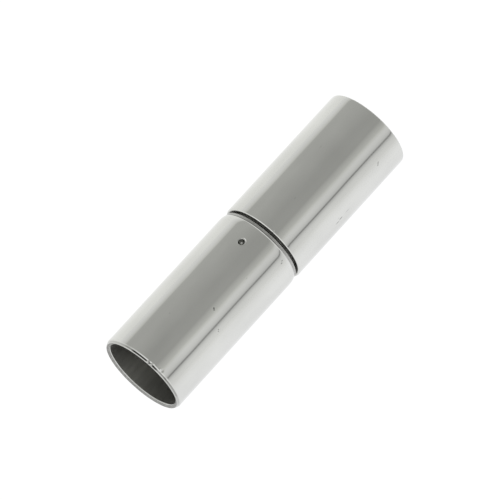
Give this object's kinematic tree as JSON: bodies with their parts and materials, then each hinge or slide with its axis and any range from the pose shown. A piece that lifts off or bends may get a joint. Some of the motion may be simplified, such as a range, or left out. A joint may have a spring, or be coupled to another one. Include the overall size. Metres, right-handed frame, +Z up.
{
  "type": "twist-lock jewellery clasp",
  "caption": "Plain tubular twist-lock clasp for a round cord: a socket half with punched lugs and a plug half with a bayonet groove.",
  "frame": {"origin": "on the surface that the clasp lies on, under the middle of its closed length", "axes": "+X along the clasp's axis from the socket half to the plug half, +Z up"},
  "size_m": [0.0258, 0.007, 0.007],
  "materials": {
    "polished_steel": "polished",
    "spring_steel": "drawn wire",
    "turned_steel": "turned"
  },
  "bodies": {
    "socket_half": {"socket_tube": "polished_steel"},
    "spring": {"spring": "spring_steel"},
    "plug_half": {"bayonet_plug": "turned_steel", "plug_tube": "polished_steel"}
  },
  "joints": [
    {"name": "twist", "type": "hinge", "parent": "socket_half", "child": "spring", "pos_m": [0, 0, 0.0035], "axis": [1, 0, 0], "range_deg": [0, 60]},
    {"name": "pull", "type": "slide", "parent": "spring", "child": "plug_half", "axis": [1, 0, 0], "range_m": [0, 0.008]}
  ]
}
